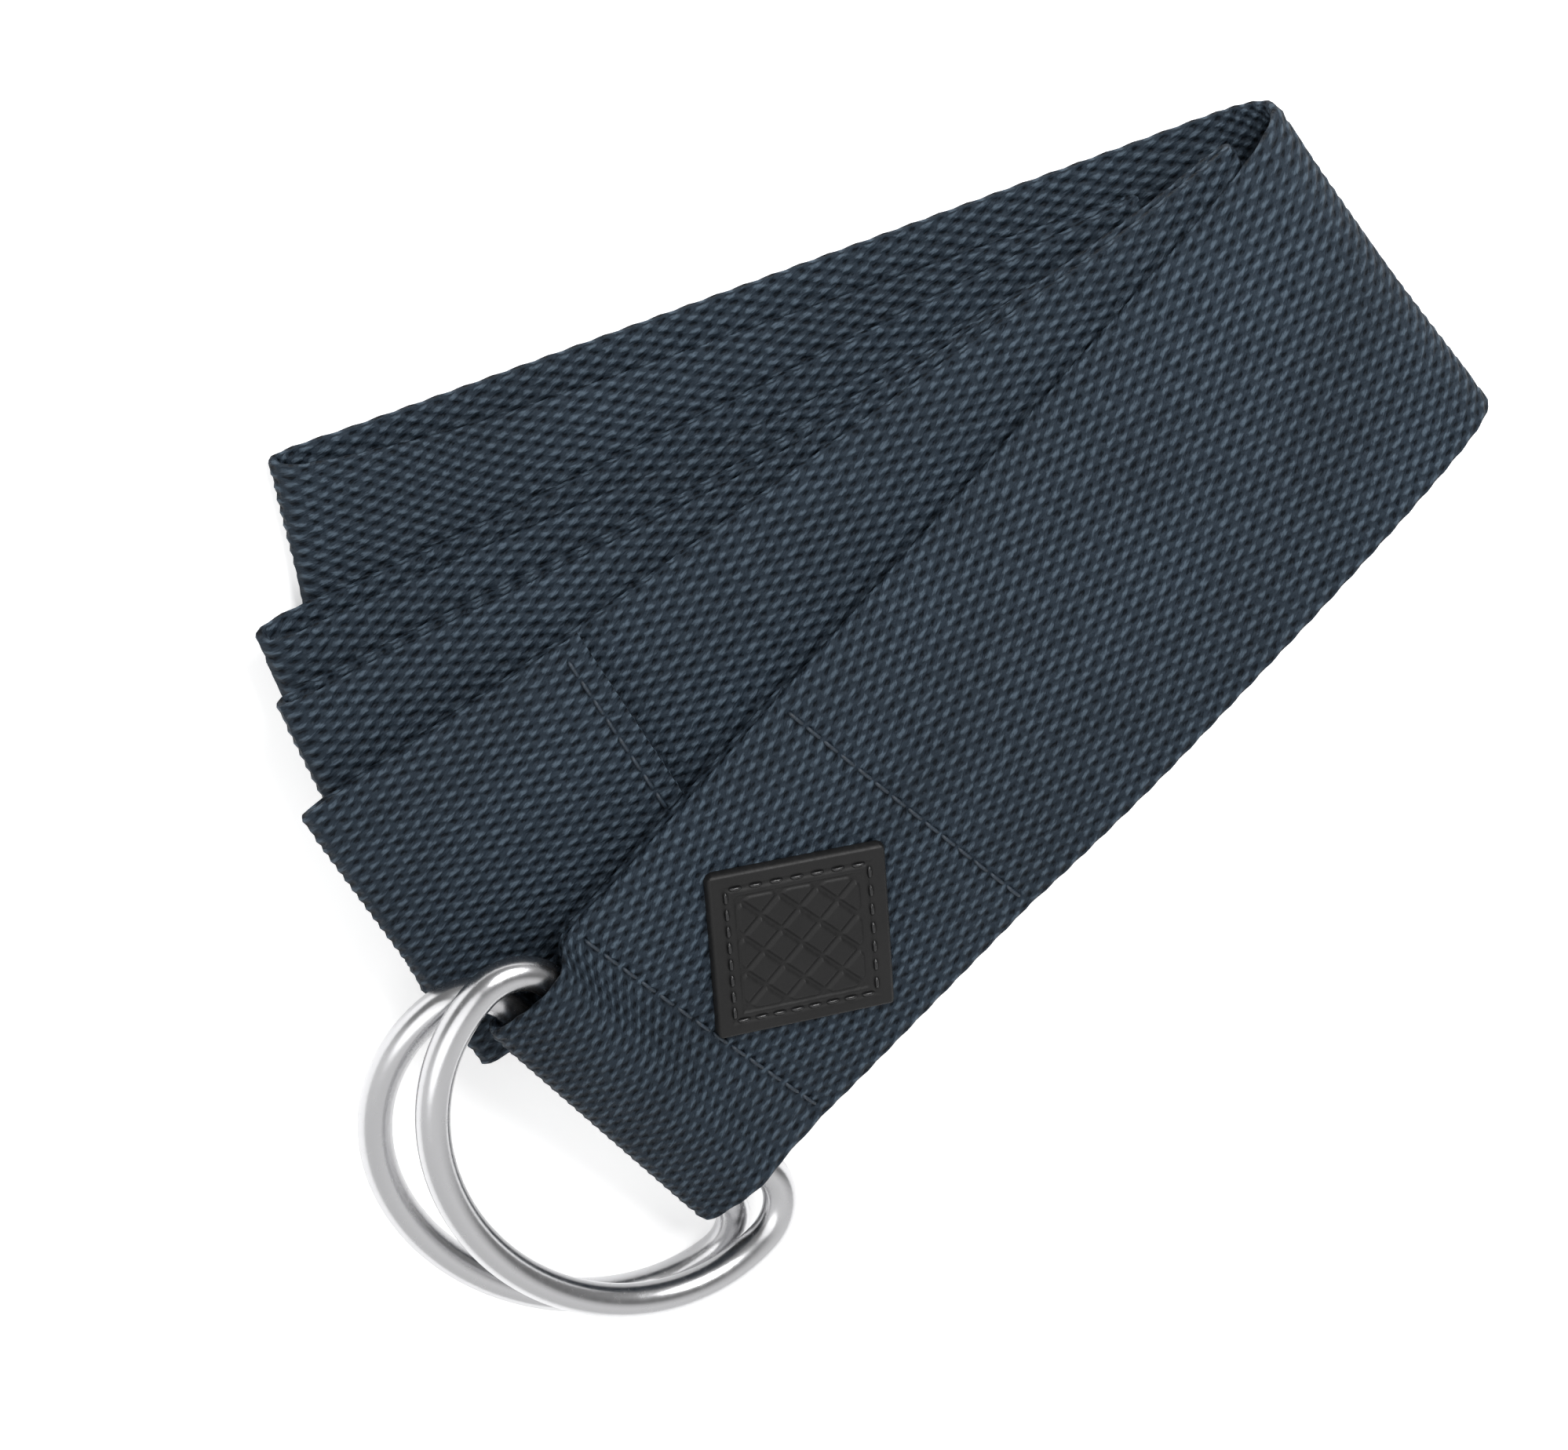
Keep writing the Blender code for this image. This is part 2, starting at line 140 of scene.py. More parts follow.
RINGS = {
    "d_ring_front": dict(bar=(10.2, 2.7, 12.5), turn=6.0, bar_slope=13.6, fall=-9.0),
    "d_ring_rear": dict(bar=(4.8, 3.8, 10.2), turn=6.7, bar_slope=14.2, fall=6.5),
}

# ---- the weave -----------------------------------------------------------------------
YARNS = 53                   # warp yarns across the webbing
PICK = 1.575                 # distance between weft picks
ROW_STEP = PICK / 2
YARN_RISE = 0.11             # how far a yarn swings above and below its mean
FACE_LIFT = 0.64             # mean distance of a face from the centre surface
SELVEDGE_BUMP = 0.07         # turns of the weft standing out at the edge
EDGE_ROUND = ((0.00, 0.42), (0.16, 0.0), (0.00, -0.42))   # outwards and upwards, round a selvedge
EDGE_COLUMNS = len(EDGE_ROUND)
GROOVE_IN = 2.0              # the groove beside each selvedge
SEAM_PULL = 0.28             # how far a row of stitches draws the faces in
END_PINCH = 0.30             # how far the faces close in at the ribbon's two cut ends

# ---- colours -------------------------------------------------------------------------
# The darkest yarn colour is painted shade for the hollows between knuckles and the darkest fibres;
# the lightest is a painted highlight on the knuckle tops and the lightest fibres; the middle one is
# the yarn's own navy.
YARN_PAINTED_HOLLOW_SHADE_AND_DARK_FIBRE = (0.0008, 0.0028, 0.0055, 1.0)
YARN_MID = (0.0135, 0.0210, 0.0305, 1.0)
YARN_PAINTED_TIP_HIGHLIGHT_AND_LIGHT_FIBRE = (0.052, 0.073, 0.096, 1.0)
PATCH_DARK = (0.003, 0.003, 0.0031, 1.0)
PATCH_LIGHT = (0.008, 0.0078, 0.008, 1.0)
THREAD_NAVY = (0.010, 0.017, 0.026, 1.0)
THREAD_BLACK = (0.006, 0.006, 0.0065, 1.0)
STEEL = (0.52, 0.52, 0.53, 1.0)
PAPER = (0.93, 0.93, 0.93, 1.0)
PAPER_GLOW = 0.35             # the floor's own faint light, which hides most of its shadow


# ---- the ribbon's centre surface -----------------------------------------------------
def cross_section(heights):
    """Offsets and heights across the webbing: a parabola through its three heights."""
    near, middle, far = heights
    u = np.linspace(0.0, 1.0, DESIGN_COLUMNS + 1)
    z = near * (1 - u) * (1 - 2 * u) + 4 * middle * u * (1 - u) + far * u * (2 * u - 1)
    cell = WEBBING_W / DESIGN_COLUMNS
    offset = np.concatenate([[0.0], np.cumsum(np.sqrt(cell ** 2 - np.diff(z) ** 2))])
    return offset, z


def hermite(p0, t0, p1, t1, u):
    return ((2 * u ** 3 - 3 * u ** 2 + 1) * p0 + (u ** 3 - 2 * u ** 2 + u) * t0
            + (3 * u ** 2 - 2 * u ** 3) * p1 + (u ** 3 - u ** 2) * t1)


def hermite_slope(p0, t0, p1, t1, u):
    return ((6 * u ** 2 - 6 * u) * (p0 - p1) + (3 * u ** 2 - 4 * u + 1) * t0
            + (3 * u ** 2 - 2 * u) * t1)


def unit(v):
    return v / np.linalg.norm(v, axis=-1, keepdims=True)


def height_rates(stations, spans):
    """Slopes of the three heights at every station, flat where they turn."""
    steps = [(np.array(b[1]) - np.array(a[1])) / span
             for a, b, span in zip(stations, stations[1:], spans)]
    rates = [steps[0]]
    for before, after in zip(steps, steps[1:]):
        product = before * after
        total = np.where(product > 0, before + after, 1.0)
        rates.append(np.where(product > 0, 2 * product / total, 0.0))
    rates.append(steps[-1])
    return rates


def leg_rows(name):
    """Rows of points across the leg, from its ring end to its far end."""
    stations = LEGS[name]
    spans = [math.dist(a[0], b[0]) for a, b in zip(stations, stations[1:])]
    rates = height_rates(stations, spans)
    rows = []
    for k, span in enumerate(spans):
        (xy0, z0, h0), (xy1, z1, h1) = stations[k], stations[k + 1]
        p0, p1 = np.array(xy0), np.array(xy1)
        t0 = np.array((math.cos(math.radians(h0)), math.sin(math.radians(h0)))) * span
        t1 = np.array((math.cos(math.radians(h1)), math.sin(math.radians(h1)))) * span
        steps = max(2, round(span / LEG_STEP))
        for i in range(0 if k == 0 else 1, steps + 1):
            u = i / steps
            edge = hermite(p0, t0, p1, t1, u)
            along = unit(hermite_slope(p0, t0, p1, t1, u))
            heights = hermite(np.array(z0), rates[k] * span, np.array(z1), rates[k + 1] * span, u)
            offset, z = cross_section(heights)
            rows.append(np.stack([edge[0] + along[1] * offset, edge[1] - along[0] * offset, z], 1))
    return rows


def bend_rows(before, after, reach_out, reach_in, steps):
    """Rows of a bend between two runs: a cubic curve for every column."""
    leaving = unit(before[-1] - before[-2])
    arriving = unit(after[1] - after[0])
    share = np.linspace(0.0, 1.0, DESIGN_COLUMNS + 1)[:, None]
    out = reach_out[0] + (reach_out[1] - reach_out[0]) * share
    back = reach_in[0] + (reach_in[1] - reach_in[0]) * share
    p0, p3 = before[-1], after[0]
    p1, p2 = p0 + leaving * out, p3 - arriving * back
    return [(1 - u) ** 3 * p0 + 3 * u * (1 - u) ** 2 * p1 + 3 * u ** 2 * (1 - u) * p2 + u ** 3 * p3
            for u in np.linspace(0.0, 1.0, steps + 1)]


def hairpin_rows(before, after):
    near = np.linalg.norm(before[-1][0] - after[0][0]) * HAIRPIN
    far = np.linalg.norm(before[-1][-1] - after[0][-1]) * HAIRPIN
    return bend_rows(before, after, (near, far), (near, far), FOLD_STEPS)[1:-1]


def bundle_rows():
    rows = []
    for name, way in BUNDLE:
        run = leg_rows(name)[::way]
        if rows:
            rows += hairpin_rows(rows, run)
        rows += run
    return rows


def ring_frame(spec):
    """Unit vectors of a D-ring: along its bar, and from the bar to the crown."""
    turn, slope, fall = (math.radians(spec[key]) for key in ("turn", "bar_slope", "fall"))
    along = np.array((math.sin(turn) * math.cos(slope), math.cos(turn) * math.cos(slope),
                      math.sin(slope)))
    outward = np.array((-math.cos(turn), math.sin(turn), -math.tan(fall)))
    return along, unit(outward - along * outward.dot(along))


def bar_line(spec, y):
    """Where a ring's bar line crosses a plane of constant y, and how much further than at
    mid-bar the wire reaches from that line there, whichever way the ring has swung."""
    along, _ = ring_frame(spec)
    middle = np.array(spec["bar"])
    across = (y - middle[1]) / along[1]
    past = max(0.0, abs(across) - (RING_HALF_WIDTH - RING_CORNER_R))
    lean = math.asin(past / RING_CORNER_R)
    depth = RING_CORNER_R * (1 - math.cos(lean))
    spread = depth + RING_WIRE_D / 2 * (1 / math.cos(lean) - 1)
    return middle + along * across, spread


def loop_rows():
    """The loop round both ring bars: over the front and rear bars, then back under them."""
    radius = RING_WIRE_D / 2 + WEBBING_T / 2 + LOOP_CLEARANCE
    stops = ([("d_ring_front", angle) for angle in (62, 80, 98)]
             + [("d_ring_rear", angle) for angle in (112, 135, 158, 180, 203, 226, 250, 270)]
             + [("d_ring_front", angle) for angle in (282, 300)])
    rows = []
    for ring, angle in stops:
        turned = math.radians(angle)
        row = []
        for y in np.linspace(*LOOP_EDGES_Y, DESIGN_COLUMNS + 1):
            bar_point, spread = bar_line(RINGS[ring], y)
            offset = np.array((math.cos(turned), 0.0, math.sin(turned)))
            row.append(bar_point + offset * (radius + spread))
        rows.append(np.array(row))
    return rows


def tail_rows():
    """The end of the ribbon, turned back under the ring leg and sewn to it."""
    drop = np.array((0.0, 0.0, WEBBING_T + TAIL_GAP / 2))
    rows = [row - drop for row in leg_rows("ring_leg") if row[0][0] < TAIL_END_X]
    step = unit(rows[-1][0] - rows[-2][0]) * (TAIL_END_X - rows[-1][0][0])
    rows.append(rows[-1] + step)
    return rows


def slopes(values, at):
    """Three-point slopes of values along axis 0, at unevenly spaced stations."""
    gap = np.diff(at)[:, None, None]
    step = np.diff(values, axis=0) / gap
    inner = (step[:-1] * gap[1:] + step[1:] * gap[:-1]) / (gap[:-1] + gap[1:])
    return np.concatenate([step[:1], inner, step[-1:]])


def resample(values, at, wanted):
    """A smooth curve through the rows of values at stations at, read at the wanted stations."""
    rate = slopes(values, at)
    k = np.clip(np.searchsorted(at, wanted, side="right") - 1, 0, len(at) - 2)
    gap = (at[k + 1] - at[k])[:, None, None]
    u = ((wanted - at[k]) / (at[k + 1] - at[k]))[:, None, None]
    return hermite(values[k], rate[k] * gap, values[k + 1], rate[k + 1] * gap, u)


def stations_of(rows):
    """Mean distance travelled at every row."""
    steps = np.linalg.norm(np.diff(rows, axis=0), axis=2).mean(1)
    return np.concatenate([[0.0], np.cumsum(steps)])


def across_stations():
    """Positions across the webbing: both selvedges and the middle of every yarn."""
    yarns = (np.arange(YARNS) + 0.5) / YARNS
    return np.concatenate([[0.0], yarns, [1.0]])


def refine(rows):
    """The ribbon's centre surface, as rows by yarns by 3, and each row's distance travelled."""
    rows = np.array(rows)
    at = stations_of(rows)
    count = int(round(at[-1] / ROW_STEP))
    wanted = np.linspace(0.0, at[-1], count + 1)
    dense = resample(rows, at, wanted)
    columns = np.linspace(0.0, 1.0, DESIGN_COLUMNS + 1)
    return resample(dense.transpose(1, 0, 2), columns, across_stations()).transpose(1, 0, 2), wanted


def dip(distance, reach):
    return np.exp(-(distance / reach) ** 2)


# ---- meshes --------------------------------------------------------------------------
def world(points):
    """Design points in mm as positions in metres."""
    return (np.asarray(points, float) - CENTRE) * 0.001


def new_mesh(name, points, faces):
    """A smooth-shaded object from design points in mm."""
    mesh = bpy.data.meshes.new(name)
    mesh.from_pydata(world(points).tolist(), [], faces)
    mesh.polygons.foreach_set("use_smooth", [True] * len(mesh.polygons))
    obj = bpy.data.objects.new(name, mesh)
    bpy.context.scene.collection.objects.link(obj)
    return obj


def surface_normals(grid):
    along = np.gradient(grid, axis=0)
    across = np.gradient(grid, axis=1)
    return unit(np.cross(along, across))


def woven_skin(grid, normals, travelled, pull):
    """The ribbon's skin as rows of points going once round it, with its normals and columns:
    the upper face, the far selvedge, the under face and the near selvedge."""
    picks = travelled / PICK
    yarn = np.arange(YARNS)
    swing = np.cos(np.pi * (picks[:, None] + yarn[None, :]))
    inset = (yarn + 0.5) / YARNS * WEBBING_W
    to_edge = np.minimum(inset, WEBBING_W - inset)
    groove = 0.16 * dip(to_edge - GROOVE_IN, 0.5)
    thinner = 0.14 * dip(to_edge, 0.6)
    lift = FACE_LIFT - groove - thinner - pull[:, None]
    centre, normal = grid[:, 1:-1], normals[:, 1:-1]
    top = centre + normal * (lift + YARN_RISE * swing)[:, :, None]
    bottom = centre - normal * (lift - YARN_RISE * swing)[:, :, None]
    edges = []
    for side, inner, order in ((0, 1, -1), (-1, -2, 1)):
        out = unit(grid[:, side] - grid[:, inner])
        bump = SELVEDGE_BUMP * np.cos(np.pi * (picks + side))
        edges.append(np.stack([grid[:, side] + out * (bump + outwards)[:, None]
                               + normals[:, side] * upwards * (1 - pull / FACE_LIFT)[:, None]
                               for outwards, upwards in EDGE_ROUND[::order]], axis=1))
    skin = np.concatenate([top, edges[1], bottom[:, ::-1], edges[0]], axis=1)
    around = np.roll(skin, -1, axis=1) - np.roll(skin, 1, axis=1)
    skin_normals = unit(np.cross(np.gradient(skin, axis=0), around))
    far_turn = YARNS + np.array((0.1, 0.6, 0.1))
    column = np.concatenate([yarn + 0.5, far_turn, (yarn + 0.5)[::-1], YARNS - far_turn])
    return skin, skin_normals, column


def woven_piece(name, skin, skin_normals, column, picks):
    """A closed woven sheet from some rows of the ribbon's skin, shaded as part of the whole."""
    count, size = skin.shape[:2]
    faces = []
    for r in range(count - 1):
        low, high = r * size, (r + 1) * size
        for k in range(size):
            n = (k + 1) % size
            faces.append((low + k, high + k, high + n, low + n))
    sides = len(faces)
    for start, turned in ((0, False), ((count - 1) * size, True)):
        middle = EDGE_COLUMNS // 2
        upper = list(range(start + size - 1 - middle, start + size))
        upper += list(range(start, start + YARNS + middle + 1))
        under = list(range(start + size - 1 - middle, start + YARNS + middle - 1, -1))
        for k in range(len(upper) - 1):
            corners = list(dict.fromkeys((upper[k], upper[k + 1], under[k + 1], under[k])))
            faces.append(tuple(corners[::-1] if turned else corners))
    obj = new_mesh(name, skin.reshape(-1, 3), faces)
    mesh = obj.data
    write_weave_uv(mesh, column, picks, size)
    corner_normals = skin_normals.reshape(-1, 3)[corner_vertices(mesh)]
    for polygon in mesh.polygons[sides:]:
        corner_normals[list(polygon.loop_indices)] = polygon.normal
    mesh.normals_split_custom_set(corner_normals.tolist())
    return obj


def corner_vertices(mesh):
    corners = np.zeros(len(mesh.loops), int)
    mesh.loops.foreach_get("vertex_index", corners)
    return corners


def write_weave_uv(mesh, column, picks, size):
    """UV in yarns across and picks along. The under face is one pick out of step, and the
    upper one is mirrored, so that the yarns' twist leans the same way seen from either side."""
    corners = corner_vertices(mesh)
    starts = np.zeros(len(mesh.polygons), int)
    totals = np.zeros(len(mesh.polygons), int)
    mesh.polygons.foreach_get("loop_start", starts)
    mesh.polygons.foreach_get("loop_total", totals)
    place_in_ring = corners % size
    is_under = ((place_in_ring >= YARNS + EDGE_COLUMNS)
                & (place_in_ring < size - EDGE_COLUMNS))
    face_of_corner = np.repeat(np.arange(len(starts)), totals)
    under = np.zeros(len(starts), bool)
    np.logical_or.at(under, face_of_corner, is_under)
    uv = np.zeros((len(corners), 2))
    under = under[face_of_corner]
    uv[:, 0] = np.where(under, column[place_in_ring], 1 - column[place_in_ring])
    uv[:, 1] = picks[corners // size] + under
    layer = mesh.uv_layers.new(name="weave")
    layer.data.foreach_set("uv", uv.ravel())


def tube(centres, radius, sides, closed, flat_normal):
    """A round wire along the centres."""
    centres = np.asarray(centres, float)
    count = len(centres)
    if closed:
        tangent = unit(np.roll(centres, -1, 0) - np.roll(centres, 1, 0))
    else:
        tangent = unit(np.gradient(centres, axis=0))
    across = unit(np.cross(tangent, flat_normal))
    upright = np.cross(across, tangent)
    angles = np.linspace(0.0, 2 * np.pi, sides, endpoint=False)
    radii = np.broadcast_to(radius, count)
    points = (centres[:, None] + (across[:, None] * np.cos(angles)[None, :, None]
                                  + upright[:, None] * np.sin(angles)[None, :, None])
              * radii[:, None, None])
    faces = []
    for r in range(count if closed else count - 1):
        low, high = r * sides, ((r + 1) % count) * sides
        for k in range(sides):
            n = (k + 1) % sides
            faces.append((low + k, high + k, high + n, low + n))
    if not closed:
        faces.append(tuple(range(sides)))
        faces.append(tuple(range((count - 1) * sides, count * sides))[::-1])
    return points.reshape(-1, 3), faces


def ring_outline(spec):
    """Centre-line of a D: straight bar, two round corners and half an ellipse."""
    along, outward = ring_frame(spec)
    middle = np.array(spec["bar"])
    half, corner = RING_HALF_WIDTH, RING_CORNER_R
    outline = [(s, 0.0) for s in np.linspace(0.0, half - corner, 9)[:-1]]
    for angle in np.linspace(0.0, math.pi / 2, 13)[:-1]:
        outline.append((half - corner + corner * math.sin(angle),
                        corner - corner * math.cos(angle)))
    for angle in np.linspace(0.0, math.pi / 2, 31):
        outline.append((half * math.cos(angle), corner + (RING_DEPTH - corner) * math.sin(angle)))
    outline += [(-s, d) for s, d in outline[-2:0:-1]]
    return np.array([middle + along * s + outward * d for s, d in outline])


def surface_tree(grid):
    """The centre surface of part of the ribbon, for finding heights on it."""
    rows, columns = grid.shape[:2]
    index = np.arange(rows * columns).reshape(rows, columns)
    quads = np.stack([index[:-1, :-1], index[:-1, 1:], index[1:, 1:], index[1:, :-1]], 2)
    return BVHTree.FromPolygons(grid.reshape(-1, 3).tolist(), quads.reshape(-1, 4).tolist())


def on_surface(tree, x, y):
    """Height and upward normal of the surface at a plan position."""
    hit, normal, _, _ = tree.ray_cast(Vector((x, y, 60.0)), Vector((0.0, 0.0, -1.0)))
    if normal.z < 0:
        normal = -normal
    return np.array(hit), np.array(normal)


def stitch_row(tree, start, end, pitch, length, diameter, sunk):
    """Lock stitches from start to end in plan: short arches whose ends dive into the cloth."""
    start, end = np.array(start, float), np.array(end, float)
    span = np.linalg.norm(end - start)
    count = max(1, int(span / pitch))
    heading = (end - start) / span
    profile = np.linspace(-1.0, 1.0, 9)
    points, faces = [], []
    for k in range(count):
        middle = start + heading * span * (k + 0.5) / count
        centres = []
        for t in profile:
            plan = middle + heading * t * length / 2
            spot, normal = on_surface(tree, *plan)
            rise = sunk + diameter * 0.55 * (1 - t ** 4) - diameter * 0.6 * t ** 6
            centres.append(spot + normal * rise)
        radius = diameter / 2 * np.clip(1.15 - 0.55 * np.abs(profile) ** 3, 0.3, 1.0)
        tube_points, tube_faces = tube(centres, radius, 8, False, normal)
        base = sum(len(p) for p in points)
        points.append(tube_points)
        faces += [tuple(base + v for v in face) for face in tube_faces]
    return np.concatenate(points), faces


def join_runs(runs):
    """Several runs of stitches as the points and faces of one mesh."""
    points, faces, base = [], [], 0
    for run_points, run_faces in runs:
        points.append(run_points)
        faces += [tuple(base + v for v in face) for face in run_faces]
        base += len(run_points)
    return np.concatenate(points), faces


# ---- materials -----------------------------------------------------------------------
class Nodes:
    """A material's node tree, with short calls for the nodes used here."""

    def __init__(self, name):
        self.material = bpy.data.materials.new(name)
        self.material.use_nodes = True
        self.tree = self.material.node_tree
        self.shader = self.tree.nodes["Principled BSDF"]

    def add(self, kind, **settings):
        node = self.tree.nodes.new(kind)
        for key, value in settings.items():
            setattr(node, key, value)
        return node

    def link(self, source, target):
        self.tree.links.new(source, target)

    def math(self, operation, a, b=None, c=None, clamp=False):
        node = self.add("ShaderNodeMath", operation=operation, use_clamp=clamp)
        for socket, value in zip(node.inputs, (a, b, c)):
            if isinstance(value, bpy.types.NodeSocket):
                self.link(value, socket)
            elif value is not None:
                socket.default_value = value
        return node.outputs[0]

    def ramp(self, factor, *stops):
        node = self.add("ShaderNodeValToRGB")
        elements = node.color_ramp.elements
        while len(elements) < len(stops):
            elements.new(0.5)
        for element, (position, colour) in zip(elements, stops):
            element.position = position
            element.color = colour
        self.link(factor, node.inputs[0])
        return node.outputs[0]

    def plane(self, first, first_scale, second, second_scale):
        """Two scaled values as one vector."""
        node = self.add("ShaderNodeCombineXYZ")
        self.link(self.math("MULTIPLY", first, first_scale), node.inputs[0])
        self.link(self.math("MULTIPLY", second, second_scale), node.inputs[1])
        return node.outputs[0]

    def noise(self, vector, scale, detail=2.0, roughness=0.5):
        node = self.add("ShaderNodeTexNoise")
        node.inputs["Scale"].default_value = scale
        node.inputs["Detail"].default_value = detail
        node.inputs["Roughness"].default_value = roughness
        self.link(vector, node.inputs["Vector"])
        return node.outputs["Fac"]

    def bump(self, height, distance, strength=1.0):
        node = self.add("ShaderNodeBump")
        node.inputs["Distance"].default_value = distance
        node.inputs["Strength"].default_value = strength
        self.link(height, node.inputs["Height"])
        self.link(node.outputs["Normal"], self.shader.inputs["Normal"])

    def multiply_colour(self, colour, factor):
        node = self.add("ShaderNodeMix", data_type="RGBA", blend_type="MULTIPLY")
        node.inputs[0].default_value = 1.0
        self.link(colour, node.inputs[6])
        self.link(factor, node.inputs[7])
        return node.outputs[2]


YARN_WANDER = 0.5             # how far the crossings stray across, in yarns
PICK_DRIFT = 0.7              # and along, in picks
KNUCKLE_SLANT = -0.10         # lean of the knuckles
FILAMENTS_OVER = (0.673, 0.715)     # directions along and beside the filaments of a yarn
FILAMENTS_DOWN = (-0.343, 1.403)
WEBBING_BUMP = 0.00050


def webbing_material():
    """Plain weave read from the weave UV: yarns across, picks along. Every second crossing of
    yarn and pick stands up as a knuckle with a hollow between it and the next. The colour
    follows that height too, as painted shade in the hollows and a painted highlight on the
    knuckle tops, mixed with the fibres' own tone."""
    n = Nodes("navy webbing")
    split = n.add("ShaderNodeSeparateXYZ")
    n.link(n.add("ShaderNodeUVMap", uv_map="weave").outputs[0], split.inputs[0])
    across, along = split.outputs[0], split.outputs[1]
    wander = n.noise(n.plane(across, 0.9, along, 0.9), 1.0, 1.0)
    drift = n.noise(n.plane(along, 0.8, across, 0.8), 1.0, 1.0)
    strayed = n.math("MULTIPLY_ADD", wander, YARN_WANDER, -0.75)
    drifted = n.math("MULTIPLY_ADD", drift, PICK_DRIFT, -PICK_DRIFT / 2)
    u = n.math("MULTIPLY", n.math("ADD", across, strayed), math.pi)
    v = n.math("MULTIPLY", n.math("ADD", along, drifted), math.pi)
    crate = n.math("MULTIPLY", n.math("COSINE", u), n.math("COSINE", v))
    slant = n.math("MULTIPLY", n.math("SINE", u), n.math("SINE", v))
    relief = n.math("MULTIPLY_ADD", slant, KNUCKLE_SLANT, crate)
    height = n.math("MULTIPLY_ADD", relief, 0.48, 0.50, clamp=True)
    plateau = n.math("POWER", height, 0.55)
    over, down = [n.math("MULTIPLY_ADD", across, by_yarn, n.math("MULTIPLY", along, by_pick))
                  for by_yarn, by_pick in (FILAMENTS_OVER, FILAMENTS_DOWN)]
    filaments = n.noise(n.plane(over, 4.5, down, 1.2), 1.0, 1.0)
    clumps = n.noise(n.plane(across, 2.4, along, 3.0), 1.0, 3.0, 0.65)
    fibres = n.math("MULTIPLY_ADD", filaments, 0.60, n.math("MULTIPLY", clumps, 0.40))
    # painted shade and highlight: the knuckle height darkens the colour in the hollows and lightens
    # it on the knuckle tops, with the fibres' own tone added
    lit = n.math("ADD", n.math("MULTIPLY_ADD", fibres, 1.1, -0.55), height)
    colour = n.ramp(lit, (0.05, YARN_PAINTED_HOLLOW_SHADE_AND_DARK_FIBRE), (0.30, YARN_MID), (0.60, YARN_MID), (0.95, YARN_PAINTED_TIP_HIGHLIGHT_AND_LIGHT_FIBRE))
    worn = n.noise(n.plane(across, 0.06, along, 0.06), 1.0, 2.0)
    shade = n.ramp(worn, (0.25, (0.86, 0.86, 0.86, 1.0)), (0.75, (1.12, 1.12, 1.12, 1.0)))
    n.link(n.multiply_colour(colour, shade), n.shader.inputs["Base Color"])
    n.link(n.math("MULTIPLY_ADD", fibres, -0.3, 0.80), n.shader.inputs["Roughness"])
    n.shader.inputs["Specular IOR Level"].default_value = 0.14
    n.bump(n.math("MULTIPLY_ADD", fibres, 0.70, plateau), WEBBING_BUMP)
    return n.material


def object_coordinates(n):
    return n.add("ShaderNodeTexCoord").outputs["Object"]


def steel_material():
    n = Nodes("polished steel")
    at = object_coordinates(n)
    marks = n.noise(at, 900.0, 3.0, 0.6)
    n.shader.inputs["Base Color"].default_value = STEEL
    n.shader.inputs["Metallic"].default_value = 1.0
    n.link(n.math("MULTIPLY_ADD", marks, 0.16, 0.17), n.shader.inputs["Roughness"])
    n.bump(marks, 0.00002, 0.3)
    return n.material


def patch_material():
    n = Nodes("charcoal patch")
    at = object_coordinates(n)
    grain = n.noise(at, 1800.0, 4.0, 0.6)
    cloud = n.noise(at, 160.0, 2.0)
    mixed = n.math("MULTIPLY_ADD", grain, 0.5, n.math("MULTIPLY", cloud, 0.5))
    n.link(n.ramp(mixed, (0.25, PATCH_DARK), (0.75, PATCH_LIGHT)), n.shader.inputs["Base Color"])
    n.link(n.math("MULTIPLY_ADD", grain, 0.25, 0.42), n.shader.inputs["Roughness"])
    n.shader.inputs["Specular IOR Level"].default_value = 0.30
    n.bump(grain, 0.00006, 0.6)
    return n.material


def thread_material(name, colour, roughness):
    n = Nodes(name)
    at = object_coordinates(n)
    twist = n.noise(at, 3500.0, 2.0)
    dark = tuple(0.6 * c for c in colour[:3]) + (1.0,)
    light = tuple(1.7 * c for c in colour[:3]) + (1.0,)
    n.link(n.ramp(twist, (0.3, dark), (0.7, light)), n.shader.inputs["Base Color"])
    n.shader.inputs["Roughness"].default_value = roughness
    n.bump(twist, 0.00008, 0.6)
    return n.material


def paper_material():
    n = Nodes("pale floor")
    n.shader.inputs["Base Color"].default_value = PAPER
    n.shader.inputs["Roughness"].default_value = 0.95
    n.shader.inputs["Specular IOR Level"].default_value = 0.0
    n.shader.inputs["Emission Color"].default_value = (1.0, 1.0, 1.0, 1.0)
    n.shader.inputs["Emission Strength"].default_value = PAPER_GLOW
    return n.material


# ---- the webbing ---------------------------------------------------------------------
bundle = bundle_rows()
ring_leg = leg_rows("ring_leg")[::-1]
turn = bend_rows(bundle, ring_leg, OUTER_REACH_LOWER, OUTER_REACH_UPPER, OUTER_STEPS)[1:-1]
ring_end = ring_leg + loop_rows() + tail_rows()
all_rows = bundle + turn + ring_end
grid, travelled = refine(all_rows)
normals = surface_normals(grid)
stations = stations_of(np.array(all_rows))
turn_from = stations[len(bundle) - 1]
turn_to = stations[len(bundle) + len(turn)]
loop_from = stations[len(bundle) + len(turn) + len(ring_leg) - 1]


def row_near(distance):
    """The row halfway between two picks that is nearest to a distance along the ribbon."""
    picks = np.round(distance / PICK - 0.5) + 0.5
    return int(np.argmin(np.abs(travelled - picks * PICK)))


